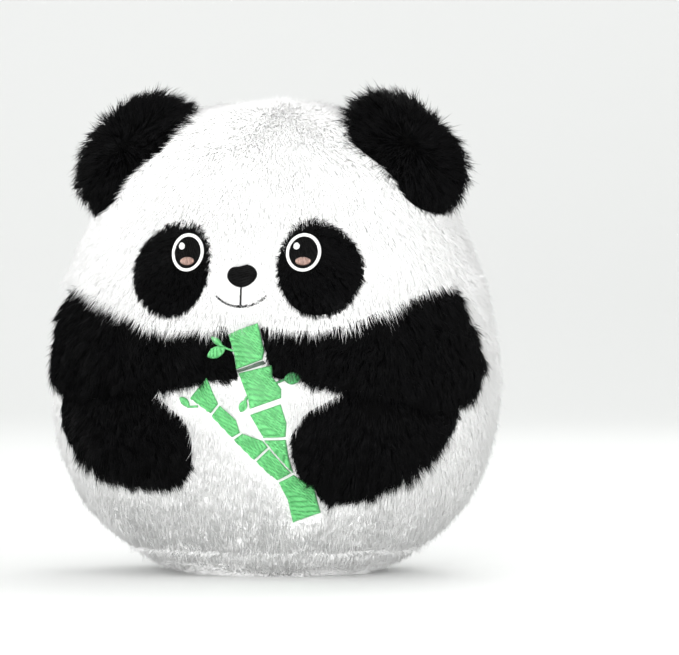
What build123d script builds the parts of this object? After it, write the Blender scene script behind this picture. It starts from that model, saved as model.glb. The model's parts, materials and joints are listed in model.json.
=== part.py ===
from build123d import *
import math
import os

# A sitting plush panda. It faces -Y, +X is its own left, and the origin is at the middle of its flat
# base. All lengths are millimetres. Fabric pieces are solids as thick as their backing and matted pile.

# The stuffed body: a turned shape, flattened from front to back.
GIRTH = 93.3                # half the width at the widest height
CROWN = 198.0               # top of the head
REST_RADIUS = 32.0          # flat patch that the panda stands on
DEPTH_RATIO = 0.87          # depth over width
PROFILE = [                 # radius and height of the outside, from the base to the crown
    (REST_RADIUS, 0.0), (59.0, 11.5), (80.6, 32.0), (GIRTH, 80.0),
    (83.6, 132.0), (70.0, 161.0), (45.0, 187.5), (0.0, CROWN),
]
END_DIRECTIONS = [(1, 0, 0.12), (-1, 0, 0)]  # of the profile, at the base and at the crown
END_PULLS = [1, 1]
PROFILE_STEPS = 9           # spans that carry the outside over to a layer inside or outside it

# Layers, measured outward from the white plush.
PLUSH = 3.0
LIMB_RAISE = 1.2
PATCH = 1.2
STITCHING = 0.7
BAMBOO = 1.4
NOSE = 1.9
MOUTH = 0.7

# Start and sweep about Z of each part of the turned body, in degrees.
FRONT = (180.0, 180.0)
BACK_LEFT = (0.0, 90.0)
BACK_RIGHT = (90.0, 90.0)
ALL_ROUND = (0.0, 360.0)

BASE_SEAM = 12.0            # height of the seam round the base panel
REACH = 130.0               # past the body on every side
REST_TRIM = 0.02            # cut off under the base, so that the toy rests on a true plane
FORWARD_START = 12.0        # trims and limbs lie in front of this

# Seam under the chin, from the middle out to the side. The face hangs over the arms along it.
CHIN = [(0.0, 106.5), (19.0, 104.0), (37.0, 105.0), (50.0, 109.5), (64.0, 116.5), (82.0, 124.5), (96.0, 130.0)]

# Lower and outer edge of each arm, from the hand to the shoulder. The hand ends at a slanted line that
# meets the chin's height at the last point. Then the outline of each leg.
RIGHT_ARM = [(-1.0, 84.0), (-18.0, 82.3), (-37.0, 79.5), (-60.0, 76.5), (-81.0, 75.0), (-87.5, 82.0),
             (-87.3, 100.0), (-79.5, 130.0)]
LEFT_ARM = [(13.4, 84.2), (27.0, 82.6), (43.0, 79.5), (65.0, 74.0), (81.0, 70.5), (87.5, 78.0),
            (87.5, 98.0), (79.5, 130.0)]
RIGHT_HAND_TOP = (-11.0, 130.0)
LEFT_HAND_TOP = (0.6, 130.0)
RIGHT_LEG = [(-37.0, 79.5), (-33.0, 73.5), (-25.0, 67.0), (-21.5, 55.0), (-24.0, 44.5), (-42.0, 39.2),
             (-57.0, 41.0), (-68.0, 48.0), (-79.0, 59.0), (-84.0, 77.0), (-60.0, 86.0)]
LEFT_LEG = [(43.0, 79.5), (34.0, 74.0), (25.0, 68.0), (20.6, 57.0), (23.0, 45.0), (29.0, 36.0),
            (39.0, 33.5), (53.0, 39.0), (66.0, 47.0), (77.0, 58.0), (83.0, 71.0), (64.0, 84.0)]

# The eyes, as on the panda's left; the right side mirrors them.
PATCH_CENTRE = (30.7, 129.0)
PATCH_OUTLINE = [(-3.0, 19.4), (8.5, 14.5), (15.6, 3.5), (15.0, -8.0), (5.0, -18.4), (-8.0, -17.0),
                 (-15.4, -6.0), (-15.8, 7.0), (-11.5, 16.0)]
EYE_CENTRE = (24.3, 135.7)
EYE_HALF_SIZE = (7.0, 7.9)
RING_WIDTH = 1.3
IRIS_DROP = 3.5
IRIS_HALF_SIZE = (3.1, 1.75)
GLINT_OFFSET = (-2.9, 2.7)  # towards the panda's right on both eyes, as light falls
GLINT_RADIUS = 1.35

NOSE_CENTRE = (0.0, 125.3)
NOSE_OUTLINE = [(0.0, 4.4), (4.6, 3.7), (6.0, 0.9), (3.9, -3.0), (0.0, -4.5), (-3.9, -3.0), (-6.0, 0.9), (-4.6, 3.7)]
LIP_HEIGHT = 113.0
SMILE_RADIUS = 14.5
SMILE_HALF_WIDTH = 10.5
STROKE = 1.0

# The embroidered bamboo that the hands hold: one thick stalk, one thin shoot that joins it, and leaves.
STALK = {
    "bamboo_stalk_top": [(-5.2, 102.2), (7.0, 106.8), (9.8, 95.5), (9.2, 91.9), (-1.6, 87.8), (-2.6, 94.0)],
    "bamboo_stalk_second": [(-0.7, 86.2), (13.1, 89.6), (13.3, 84.6), (16.9, 79.8), (16.8, 76.2), (4.2, 71.8), (3.5, 76.4)],
    "bamboo_stalk_third": [(4.3, 69.3), (16.6, 73.7), (18.9, 66.0), (18.4, 60.2), (9.6, 60.0)],
    "bamboo_stalk_fourth": [(9.8, 58.9), (18.4, 59.0), (19.3, 52.0), (20.8, 45.2)],
    "bamboo_stalk_base": [(14.9, 41.6), (20.9, 44.3), (25.2, 41.3), (28.6, 39.9), (30.3, 28.8), (18.9, 24.8), (18.0, 34.2)],
}
SHOOT = {
    "bamboo_shoot_top": [(-20.9, 76.0), (-14.4, 84.3), (-9.1, 73.8), (-12.3, 69.9)],
    "bamboo_shoot_second": [(-11.7, 68.9), (-8.4, 73.0), (-1.7, 67.1), (-0.2, 62.0), (-3.5, 60.1)],
    "bamboo_shoot_third": [(-2.7, 59.1), (0.9, 61.6), (9.0, 58.7), (11.0, 56.0), (5.4, 51.0)],
    "bamboo_shoot_fourth": [(6.2, 50.2), (11.6, 55.2), (19.8, 45.2), (14.2, 42.4)],
}
JOINT_THREAD = [(-1.5, 87.4), (9.5, 91.4), (10.4, 90.1), (-0.9, 86.4)]
LEAVES = {                  # tip, base, width, and where the stem ends
    "bamboo_leaf_upper": ((-14.2, 92.9), (-6.4, 96.6), 4.6, (-3.2, 95.4)),
    "bamboo_leaf_crown": ((-12.6, 101.2), (-7.6, 97.3), 2.6, (-6.6, 96.8)),
    "bamboo_leaf_left": ((-25.4, 76.4), (-21.4, 72.4), 3.0, (-17.8, 72.6)),
    "bamboo_leaf_middle": ((0.3, 70.4), (2.4, 75.4), 3.2, (3.4, 76.8)),
    "bamboo_leaf_right": ((24.8, 84.8), (18.2, 83.6), 5.0, (14.6, 82.2)),
}
STEM = 0.9

# The ears: cushions sewn on along a slanted line, in an upright plane in front of the middle.
EAR_PLANE = -13.0
EAR_INNER_END = (31.5, 192.0)
EAR_OUTER_END = (73.0, 151.5)
EAR_HALF_WIDTH = 27.5
EAR_RISE = 26.5
EAR_SQUARENESS = 2.35       # exponent of the outline, 2 for an ellipse
EAR_OUTLINE_POINTS = 14
EAR_HALF_THICKNESS = 7.5
EAR_EDGE = 6.5
EAR_FABRIC = 2.2
HINGE_RISE = 5.0            # fold line of the ear, above the line between the ends of its seam
EAR_FOLD = (-25.0, 30.0)    # backwards and forwards, in degrees
EAR_SEAT_RISE = 7.6         # the head's surface above the line between the ends of the seam
EAR_SEAT_RADIUS = 64.0      # how the head curves under the ear
EAR_CLEARANCE = 0.9

# The blank cloth label in the seam down the middle of the back.
LABEL = (27.0, 0.5, 18.0)
LABEL_HEIGHT = 78.0
LABEL_GAP = 0.8
LABEL_LIE = 5.0            # angle between the label and the back, in degrees

# The hand-sewn ladder stitches that close the back seam after stuffing.
STITCH_COUNT = 9
STITCH_PITCH = 6.0
STITCH_START = 104.0
STITCH_LENGTH = 3.2
STITCH_RADIUS = 0.45


def outside():
    """The outside of the body in the XZ plane, from the base to the crown."""
    return Spline(*[(r, 0, z) for r, z in PROFILE], tangents=END_DIRECTIONS, tangent_scalars=END_PULLS)


def outline_at(inset):
    """The outside moved inwards by inset, and its two ends."""
    edge = outside()
    points = []
    for step in range(PROFILE_STEPS + 1):
        at = step / PROFILE_STEPS
        spot = edge.position_at(at)
        along = edge.tangent_at(at)
        points.append((spot.X - inset * along.Z, 0, spot.Z + inset * along.X))
    points[-1] = (0, 0, CROWN - inset)
    curve = Spline(*points, tangents=END_DIRECTIONS, tangent_scalars=END_PULLS)
    return curve, points[0], points[-1]


def turned(outer, inner, start, sweep):
    """A turned layer between two insets, from an angle about Z on through a sweep, before it is flattened."""
    outer_curve, outer_foot, outer_crown = outline_at(outer)
    inner_curve, inner_foot, inner_crown = outline_at(inner)
    outer_middle = (0, 0, outer_foot[2])
    inner_middle = (0, 0, inner_foot[2])
    section = make_face([
        outer_curve, Line(outer_crown, inner_crown), inner_curve,
        Line(inner_foot, inner_middle), Line(inner_middle, outer_middle), Line(outer_middle, outer_foot),
    ])
    return revolve(section.rotate(Axis.Z, start), Axis.Z, sweep)


def turned_body(inset):
    """The whole body within an inset, before it is flattened."""
    curve, foot, crown = outline_at(inset)
    middle = (0, 0, foot[2])
    return revolve(make_face([curve, Line(crown, middle), Line(middle, foot)]), Axis.Z, 360)


def laid_on(sketch, low, high):
    """A flat piece with the given outline, laid on the front between two heights over the plush."""
    return (forward(sketch) & turned_body(-high)) - turned_body(-low)


def flatten(piece):
    """Gives a piece of the turned body its true depth."""
    return scale(piece, by=(1, DEPTH_RATIO, 1))


def forward(sketch):
    """The front of the space that an outline drawn in the XZ plane sweeps out along Y."""
    return extrude(Plane.XZ.offset(FORWARD_START) * sketch, amount=REACH, dir=(0, -1, 0))


def block(x, y, z):
    """A box between the given pairs of limits."""
    size = [b - a for a, b in (x, y, z)]
    middle = [(a + b) / 2 for a, b in (x, y, z)]
    return Pos(*middle) * Box(*size)


def curved(points, centre=(0.0, 0.0), side=1):
    """A smooth closed outline through points about a centre; side -1 mirrors it in X."""
    moved = [(side * (centre[0] + x), centre[1] + z) for x, z in points]
    return make_face(Spline(*moved, periodic=True))


def ellipse(centre, half_size):
    return Pos(*centre) * Ellipse(*half_size)


def leaf(tip, base, width, stem_end):
    """A pointed leaf with its stem."""
    tip, base, stem_end = Vector(*tip), Vector(*base), Vector(*stem_end)
    along = (base - tip).normalized()
    across = Vector(-along.Y, along.X)
    middle = (tip + base) / 2
    one_side = ThreePointArc(tip, middle + across * width / 2, base)
    other_side = ThreePointArc(base, middle - across * width / 2, tip)
    blade = make_face([one_side, other_side])
    run = stem_end - base
    half = Vector(-run.Y, run.X).normalized() * STEM / 2
    start = base - run.normalized()
    stem = Polygon(start + half, start - half, stem_end - half, stem_end + half, align=None)
    return blade + stem


def chin_prism():
    """Everything in front above the seam under the chin."""
    line = [(-x, z) for x, z in reversed(CHIN[1:])] + CHIN
    seam = Spline(*line)
    top = CROWN + REACH
    ends = Polyline(line[-1], (line[-1][0], top), (line[0][0], top), line[0])
    return extrude(Plane.XZ.offset(-1) * make_face([seam, ends]), amount=REACH, dir=(0, -1, 0))


def arm_prism(edge, hand_top):
    """Everything in front within an arm, up to the chin."""
    return forward(make_face([Spline(*edge), Polyline(edge[-1], hand_top, edge[0])]))


def bamboo_shapes():
    """The outline of every piece of the bamboo, by node."""
    shapes = {name: Polygon(*points, align=None) for name, points in (STALK | SHOOT).items()}
    shapes["bamboo_joint_thread"] = Polygon(*JOINT_THREAD, align=None)
    for name, shape in LEAVES.items():
        shapes[name] = leaf(*shape)
    stalks = [shapes[name] for name in STALK | SHOOT]
    for name in LEAVES:
        for stalk in stalks:
            shapes[name] -= stalk
    shapes["bamboo_leaf_crown"] -= shapes["bamboo_leaf_upper"]
    return shapes


def mouth_shape():
    """A short upright stroke below the nose that meets a smile."""
    centre = LIP_HEIGHT + SMILE_RADIUS
    ring = Circle(SMILE_RADIUS + STROKE / 2) - Circle(SMILE_RADIUS - STROKE / 2)
    corner = centre - math.sqrt(SMILE_RADIUS**2 - SMILE_HALF_WIDTH**2)
    low = LIP_HEIGHT - STROKE
    window = Pos(0, (corner + low) / 2) * Rectangle(2 * SMILE_HALF_WIDTH, corner - low)
    smile = (Pos(0, centre) * ring) & window
    top = NOSE_CENTRE[1] + NOSE_OUTLINE[4][1]
    upright = Pos(0, (top + LIP_HEIGHT) / 2) * Rectangle(STROKE, top - LIP_HEIGHT)
    return smile + upright


def eye_shapes(side):
    """Ring, black, iris and glint of one eye, none of them overlapping."""
    centre = (side * EYE_CENTRE[0], EYE_CENTRE[1])
    inner = [half - RING_WIDTH for half in EYE_HALF_SIZE]
    iris = ellipse((centre[0], centre[1] - IRIS_DROP), IRIS_HALF_SIZE)
    glint = Pos(centre[0] + GLINT_OFFSET[0], centre[1] + GLINT_OFFSET[1]) * Circle(GLINT_RADIUS)
    opening = ellipse(centre, inner)
    return {
        "eye_ring": ellipse(centre, EYE_HALF_SIZE) - opening,
        "eye_black": opening - iris - glint,
        "eye_iris": iris,
        "eye_glint": glint,
    }


def make_body():
    """The panels of the body, what is sewn on them, and the filling."""
    shell = turned(0, PLUSH, *FRONT)
    limb_shell = turned(-LIMB_RAISE, PLUSH, *FRONT)

    chin = chin_prism()
    shapes = bamboo_shapes()
    bamboo = [forward(shape) for shape in shapes.values()]
    arms = {
        "right_arm": arm_prism(RIGHT_ARM, RIGHT_HAND_TOP) - chin,
        "left_arm": arm_prism(LEFT_ARM, LEFT_HAND_TOP) - chin,
    }
    legs = {"right_leg": forward(curved(RIGHT_LEG)), "left_leg": forward(curved(LEFT_LEG))}
    for name in arms:
        arms[name] -= bamboo
    for name in legs:
        legs[name] -= bamboo + list(arms.values())
    limbs = arms | legs

    above = block((-REACH, REACH), (-REACH, REACH), (BASE_SEAM, CROWN + REACH))
    front = shell & above
    pieces = {
        "base_panel": turned(0, PLUSH, *ALL_ROUND) - above,
        "back_left_panel": turned(0, PLUSH, *BACK_LEFT) & above,
        "back_right_panel": turned(0, PLUSH, *BACK_RIGHT) & above,
        "face_panel": front & chin,
        "belly_panel": front - chin - list(limbs.values()),
        "body_filling": turned_body(PLUSH),
    }
    for name, region in limbs.items():
        pieces[name] = limb_shell & region

    for side, hand in ((-1, "right"), (1, "left")):
        pieces[f"{hand}_eye_patch"] = laid_on(curved(PATCH_OUTLINE, PATCH_CENTRE, side), 0, PATCH)
        for name, shape in eye_shapes(side).items():
            pieces[f"{hand}_{name}"] = laid_on(shape, PATCH, PATCH + STITCHING)
    pieces["nose"] = laid_on(curved(NOSE_OUTLINE, NOSE_CENTRE), 0, NOSE)
    pieces["mouth_stitches"] = laid_on(mouth_shape(), 0, MOUTH)
    for name, shape in shapes.items():
        pieces[name] = laid_on(shape, 0, BAMBOO)
    pieces = {name: flatten(piece) for name, piece in pieces.items()}
    pieces["base_panel"] &= block((-REACH, REACH), (-REACH, REACH), (REST_TRIM, REACH))
    return pieces


def ear_frame():
    """Middle of the left ear's seam line, and the directions along it and out of the head."""
    inner = Vector(EAR_INNER_END[0], EAR_PLANE, EAR_INNER_END[1])
    outer = Vector(EAR_OUTER_END[0], EAR_PLANE, EAR_OUTER_END[1])
    along = (outer - inner).normalized()
    out = Vector(-along.Z, 0, along.X)
    return (inner + outer) / 2, along, out


def ear_cushion(shrink):
    """An ear-shaped cushion, smaller by shrink all round, in the ear's own plane."""
    middle, along, _ = ear_frame()
    power = 2 / EAR_SQUARENESS
    points = []
    for step in range(EAR_OUTLINE_POINTS):
        turn = 2 * math.pi * step / EAR_OUTLINE_POINTS
        c, s = math.cos(turn), math.sin(turn)
        x = (EAR_HALF_WIDTH - shrink) * math.copysign(abs(c)**power, c)
        y = (EAR_RISE - shrink) * math.copysign(abs(s)**power, s)
        points.append((x, y))
    plane = Plane(origin=middle, x_dir=along, z_dir=(0, -1, 0))
    outline = plane * make_face(Spline(*points, periodic=True))
    cushion = extrude(outline, amount=EAR_HALF_THICKNESS - shrink, both=True)
    return fillet(cushion.edges(), EAR_EDGE - shrink)


def make_ears():
    """Front, back and filling of both ears, cut clear of the head over the whole fold."""
    middle, along, out = ear_frame()
    hinge = Axis(middle + out * HINGE_RISE, along)
    seat = Pos(middle + out * (EAR_SEAT_RISE - EAR_SEAT_RADIUS)) * Sphere(EAR_SEAT_RADIUS + EAR_CLEARANCE)
    whole = ear_cushion(0)
    for angle in (EAR_FOLD[0], 0.0, EAR_FOLD[1]):
        whole -= seat.rotate(hinge, -angle)
    inside = ear_cushion(EAR_FABRIC)
    cloth = whole - inside
    ahead = block((-REACH, REACH), (-REACH, EAR_PLANE), (0, CROWN + REACH))
    left = {
        "ear_front": cloth & ahead,
        "ear_back": cloth - ahead,
        "ear_filling": whole & inside,
    }
    pieces = {}
    for name, piece in left.items():
        pieces[f"left_{name}"] = piece
        pieces[f"right_{name}"] = mirror(piece, about=Plane.YZ)
    return pieces


def make_label():
    """A blank label that hinges on the back seam and lies near the back, to the panda's right."""
    length, thickness, height = LABEL
    cloth = Box(length, thickness, height, align=(Align.MAX, Align.CENTER, Align.CENTER))
    root = Pos(0, DEPTH_RATIO * GIRTH + LABEL_GAP, LABEL_HEIGHT)
    return root * Rot(0, 0, -LABEL_LIE) * cloth


def make_stitches():
    """The ladder stitches across the back seam, each a short bar laid on the plush."""
    edge = outside()
    bars = []
    for step in range(STITCH_COUNT):
        height = STITCH_START + STITCH_PITCH * step
        at = (edge & Line((0, 0, height), (REACH, 0, height))).vertices()[0].X
        bar = Rot(0, 90, 0) * Cylinder(STITCH_RADIUS, STITCH_LENGTH)
        bars.append(Pos(0, DEPTH_RATIO * at + 1.3 * STITCH_RADIUS, height) * bar)
    return Compound(bars)


def main():
    os.makedirs("parts", exist_ok=True)
    pieces = make_body() | make_ears()
    pieces["care_label"] = make_label()
    pieces["closing_stitches"] = make_stitches()
    for name, piece in pieces.items():
        export_step(piece, f"parts/{name}.step")


main()
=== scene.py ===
# %% [markdown]
# # A plush panda with real fur
# The toy is a stuffed ball of white plush with black plush let in for the arms and legs, two stuffed
# ears, and embroidery for the eyes, nose, mouth and bamboo. The cutting plan, the sizes and the ear
# hinges come ready made in the frame. This lesson dresses that frame: cloth first, then the pile, strand
# by strand, then the thread. Everything is in metres, the panda faces -Y, and +X is its own left.

# %% Load the frame
import json
import math

import bmesh
import bpy
import numpy as np
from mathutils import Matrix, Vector
from mathutils.bvhtree import BVHTree
from mathutils.kdtree import KDTree


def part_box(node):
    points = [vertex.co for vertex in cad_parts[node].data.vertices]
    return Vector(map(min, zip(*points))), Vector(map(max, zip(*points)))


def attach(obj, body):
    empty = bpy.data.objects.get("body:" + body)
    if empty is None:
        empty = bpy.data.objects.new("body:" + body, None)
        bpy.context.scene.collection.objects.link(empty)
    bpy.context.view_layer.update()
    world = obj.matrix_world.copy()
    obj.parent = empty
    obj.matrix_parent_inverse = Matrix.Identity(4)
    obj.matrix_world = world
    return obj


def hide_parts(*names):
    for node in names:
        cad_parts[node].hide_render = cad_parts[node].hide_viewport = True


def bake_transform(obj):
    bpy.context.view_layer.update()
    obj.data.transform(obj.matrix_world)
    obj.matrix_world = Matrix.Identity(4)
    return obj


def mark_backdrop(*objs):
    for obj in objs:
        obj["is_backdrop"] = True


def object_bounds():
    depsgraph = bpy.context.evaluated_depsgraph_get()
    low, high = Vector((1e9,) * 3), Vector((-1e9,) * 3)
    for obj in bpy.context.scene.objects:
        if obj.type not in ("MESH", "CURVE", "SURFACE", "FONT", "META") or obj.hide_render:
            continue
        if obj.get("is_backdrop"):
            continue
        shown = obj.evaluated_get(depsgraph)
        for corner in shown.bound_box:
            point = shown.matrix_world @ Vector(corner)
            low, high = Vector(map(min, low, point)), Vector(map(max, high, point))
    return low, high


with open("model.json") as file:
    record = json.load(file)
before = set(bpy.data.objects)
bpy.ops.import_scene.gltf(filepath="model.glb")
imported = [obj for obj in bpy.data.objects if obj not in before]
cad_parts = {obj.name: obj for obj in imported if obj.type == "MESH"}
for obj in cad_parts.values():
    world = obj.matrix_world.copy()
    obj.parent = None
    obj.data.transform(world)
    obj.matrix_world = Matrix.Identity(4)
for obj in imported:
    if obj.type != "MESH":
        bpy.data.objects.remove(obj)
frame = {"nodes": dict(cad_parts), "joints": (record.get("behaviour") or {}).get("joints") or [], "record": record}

MM = 0.001
cad_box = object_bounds()


def size_in_mm(box):
    """Width, depth and height of a box given by its lowest and highest corner."""
    return np.round((np.array(box[1]) - np.array(box[0])) / MM, 1)


print("frame size in mm", size_in_mm(cad_box))

# %% [markdown]
# ## Small helpers for arrays
# Blender keeps points in its own structures, and numpy works on whole arrays at once, so two short
# functions carry points across. A third turns arrays of points and faces into an object that sits at the
# origin, which is where every finished piece has to sit.

# %% Arrays in and out of meshes
scene = bpy.context.scene


def points_of(mesh):
    """All the points of a mesh as an (n, 3) array."""
    flat = np.empty(len(mesh.vertices) * 3)
    mesh.vertices.foreach_get("co", flat)
    return flat.reshape(-1, 3)


def triangles_of(mesh):
    """All the faces of a mesh, cut into triangles, as an (n, 3) array of point numbers."""
    mesh.calc_loop_triangles()
    flat = np.empty(len(mesh.loop_triangles) * 3, np.int32)
    mesh.loop_triangles.foreach_get("vertices", flat)
    return flat.reshape(-1, 3)


def unit(vectors):
    """Every row divided by its own length."""
    return vectors / np.maximum(np.linalg.norm(vectors, axis=1, keepdims=True), 1e-12)


def mesh_from(name, points, *face_sets):
    """A mesh from an (n, 3) array of points and arrays of faces, one for each number of corners."""
    mesh = bpy.data.meshes.new(name)
    mesh.vertices.add(len(points))
    mesh.vertices.foreach_set("co", points.astype(np.float32).ravel())
    corners = np.concatenate([faces.ravel() for faces in face_sets]).astype(np.int32)
    sizes = np.concatenate([np.full(len(faces), faces.shape[1]) for faces in face_sets])
    starts = np.concatenate([[0], np.cumsum(sizes)[:-1]]).astype(np.int32)
    mesh.loops.add(len(corners))
    mesh.loops.foreach_set("vertex_index", corners)
    mesh.polygons.add(len(starts))
    mesh.polygons.foreach_set("loop_start", starts)
    mesh.update(calc_edges=True)
    mesh.validate()
    mesh.shade_smooth()
    return mesh


def place(mesh):
    """An object that shows a mesh."""
    piece = bpy.data.objects.new(mesh.name, mesh)
    scene.collection.objects.link(piece)
    return piece


def set_values(mesh, name, values):
    """One number for each point, under a name that a material can read."""
    layer = mesh.attributes.new(name, "FLOAT", "POINT")
    layer.data.foreach_set("value", np.asarray(values, np.float32))


# %% [markdown]
# ## Repeatable randomness
# Fur needs noise, and it has to fall the same way each time. Cells of a grid are numbered, and each number
# is scrambled into a value from 0 to 1. The nearest of the jittered cell points gives every strand the
# middle of its own tuft, as a Worley texture does.

# %% Noise
def scramble(cells, seed):
    """A value from 0 to 1 for each row of whole numbers."""
    mixed = (cells * np.array([73856093, 19349663, 83492791])).sum(axis=-1) + seed * 2654435761
    mixed = mixed.astype(np.uint64)
    mixed ^= mixed >> np.uint64(13)
    mixed *= np.uint64(0x9E3779B97F4A7C15)
    mixed ^= mixed >> np.uint64(31)
    return (mixed % np.uint64(1000003)).astype(float) / 1000003.0


def tufts(points, size, seed):
    """For each point the middle of the tuft it belongs to, and a value that the whole tuft shares."""
    base = np.floor(points / size).astype(np.int64)
    best = np.full(len(points), np.inf)
    middle = np.zeros_like(points)
    value = np.zeros(len(points))
    steps = [np.array([i, j, k]) for i in (-1, 0, 1) for j in (-1, 0, 1) for k in (-1, 0, 1)]
    for step in steps:
        cell = base + step
        jitter = np.stack([scramble(cell, seed + axis) for axis in range(3)], axis=1)
        spot = (cell + jitter) * size
        gap = ((points - spot) ** 2).sum(axis=1)
        nearer = gap < best
        best[nearer] = gap[nearer]
        middle[nearer] = spot[nearer]
        value[nearer] = jitter[nearer, 0]
    return middle, value


def waves(points, length, seed):
    """A smooth wandering vector at each point: sines of the given wavelength in eight directions."""
    rng = np.random.default_rng(seed)
    total = np.zeros_like(points)
    for _ in range(8):
        way = rng.normal(size=3)
        way *= 2 * math.pi / (length * np.linalg.norm(way))
        total += np.sin(points @ way + rng.uniform(0, 2 * math.pi))[:, None] * rng.normal(size=3)
    return total / 4


# %% [markdown]
# ## The shape of the stuffed body
# Cloth over loose fibre isn't as regular as a turned ball. It sinks along the seams, where the thread pulls
# it in, it swells in the middle of each limb, and the muzzle and cheeks stand out a little. One function
# says how far the surface stands off the frame at any point. Cloth, fur and thread all use it, so they
# stay together.

# %% Seams of the limbs, and the swell of the surface
WHITE = ["face_panel", "belly_panel", "base_panel", "back_left_panel", "back_right_panel"]
LIMBS = ["right_arm", "left_arm", "right_leg", "left_leg"]
PATCHES = ["right_eye_patch", "left_eye_patch"]
BODY_MIDDLE = np.array([0.0, 0.0, 95 * MM])
BODY_RADII = np.array([93.3, 81.2, 103.0]) * MM
SEAM_DEPTH = 1.3 * MM
SEAM_WIDTH = 3.2 * MM
LIMB_SWELL = 1.8 * MM
LIMB_SWELL_WIDTH = 9.0 * MM


def out_of_body(points):
    """Roughly the outward direction of the body: the normal of an ellipsoid of its size."""
    return unit((points - BODY_MIDDLE) / BODY_RADII**2)


def outer_faces(points, faces, least):
    """The faces that look out of the body, with their normals."""
    a, b, c = (points[faces[:, k]] for k in range(3))
    normal = unit(np.cross(b - a, c - a))
    facing = (normal * out_of_body((a + b + c) / 3)).sum(axis=1)
    return faces[facing > least], normal[facing > least]


def rim_points(name, spacing):
    """Points along the outline of a panel's outer face, which is where its seam runs."""
    bm = bmesh.new()
    bm.from_mesh(frame["nodes"][name].data)
    bmesh.ops.remove_doubles(bm, verts=bm.verts, dist=0.01 * MM)
    bmesh.ops.triangulate(bm, faces=bm.faces)
    merged = bpy.data.meshes.new("rim")
    bm.to_mesh(merged)
    bm.free()
    points = points_of(merged)
    faces, _ = outer_faces(points, triangles_of(merged), 0.6)
    bpy.data.meshes.remove(merged)
    edges = np.sort(np.concatenate([faces[:, [0, 1]], faces[:, [1, 2]], faces[:, [2, 0]]]), axis=1)
    edges, count = np.unique(edges, axis=0, return_counts=True)
    edges = edges[count == 1]
    start, end = points[edges[:, 0]], points[edges[:, 1]]
    steps = np.ceil(np.linalg.norm(end - start, axis=1) / spacing).astype(int)
    along = [np.linspace(a, b, n, endpoint=False) for a, b, n in zip(start, end, steps) if n]
    return np.concatenate(along)


def tree_of(points):
    """A tree for finding the nearest of many points."""
    tree = KDTree(len(points))
    for number, point in enumerate(points):
        tree.insert(point, number)
    tree.balance()
    return tree


rims = {name: rim_points(name, 1.5 * MM) for name in LIMBS + PATCHES}
rim_trees = {name: tree_of(rim) for name, rim in rims.items()}
limb_tree = tree_of(np.concatenate([rims[name] for name in LIMBS]))
print("points along the limb seams", sum(len(rim) for rim in rims.values()))


def bump(points, centre, radii):
    """A hill on the front, 1 at its centre. Its centre and half sizes in X and Z are in millimetres."""
    flat = (points[:, [0, 2]] - np.array(centre) * MM) / (np.array(radii) * MM)
    return np.exp(-(flat**2).sum(axis=1)) * (points[:, 1] < 0)


# Each hill on the face: its height, its centre in X and Z, and its half sizes, all in millimetres. A
# centre off the middle line has a twin on the other side.
MUZZLE = (2.6, (0.0, 118), (19, 12))
HILLS = (
    (1.8, (55, 122), (16, 13)),   # cheek
    (-1.2, (24, 136), (12, 12)),  # hollow of the eye
    (1.5, (30, 157), (20, 9)),    # brow
)


def swell(points, limb):
    """How far the surface stands out of the frame, in metres. limb says whether the points are on a limb."""
    gap = np.array([limb_tree.find(point)[2] for point in points])
    height = -SEAM_DEPTH * np.exp(-((gap / SEAM_WIDTH) ** 2))
    if limb:
        height += LIMB_SWELL * (1 - np.exp(-((gap / LIMB_SWELL_WIDTH) ** 2)))
    rise, centre, radii = MUZZLE
    height += rise * MM * bump(points, centre, radii)
    for side in (-1, 1):
        for rise, (across, up), radii in HILLS:
            height += rise * MM * bump(points, (side * across, up), radii)
    return height


def swollen(points, limb):
    """The points moved out by the swell."""
    return points + out_of_body(points) * swell(points, limb)[:, None]


# %% [markdown]
# ## Materials
# Plush is acrylic pile on a knitted back. A strand's colour runs from darker at its root to paler at its
# tip, and tufts differ a little, so the colour follows two values stored on each point of the pile: how far
# it is along the strand, and which tuft it is in. Thread is rayon, with a shine along the twist. One group
# of nodes gives the uneven tone that all of them share.

# %% The uneven tone
def tone_group():
    """Mixes a dark and a light colour by a value, with fine and coarse noise on top."""
    group = bpy.data.node_groups.new("uneven_tone", "ShaderNodeTree")
    for name in ("Value", "Scale", "Amount"):
        group.interface.new_socket(name, in_out="INPUT", socket_type="NodeSocketFloat")
    for name in ("Dark", "Light"):
        group.interface.new_socket(name, in_out="INPUT", socket_type="NodeSocketColor")
    group.interface.new_socket("Color", in_out="OUTPUT", socket_type="NodeSocketColor")
    nodes, links = group.nodes, group.links
    given = nodes.new("NodeGroupInput")
    result = nodes.new("NodeGroupOutput")
    place_of = nodes.new("ShaderNodeTexCoord")
    noise = nodes.new("ShaderNodeTexNoise")
    centred = nodes.new("ShaderNodeMath")
    centred.operation = "SUBTRACT"
    centred.inputs[1].default_value = 0.5
    scaled = nodes.new("ShaderNodeMath")
    scaled.operation = "MULTIPLY_ADD"
    scaled.use_clamp = True
    mix = nodes.new("ShaderNodeMix")
    mix.data_type = "RGBA"
    links.new(place_of.outputs["Object"], noise.inputs["Vector"])
    links.new(given.outputs["Scale"], noise.inputs["Scale"])
    links.new(noise.outputs["Fac"], centred.inputs[0])
    links.new(centred.outputs[0], scaled.inputs[0])
    links.new(given.outputs["Amount"], scaled.inputs[1])
    links.new(given.outputs["Value"], scaled.inputs[2])
    links.new(scaled.outputs[0], mix.inputs["Factor"])
    links.new(given.outputs["Dark"], mix.inputs[6])
    links.new(given.outputs["Light"], mix.inputs[7])
    links.new(mix.outputs[2], result.inputs["Color"])
    return group


TONE = tone_group()


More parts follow.
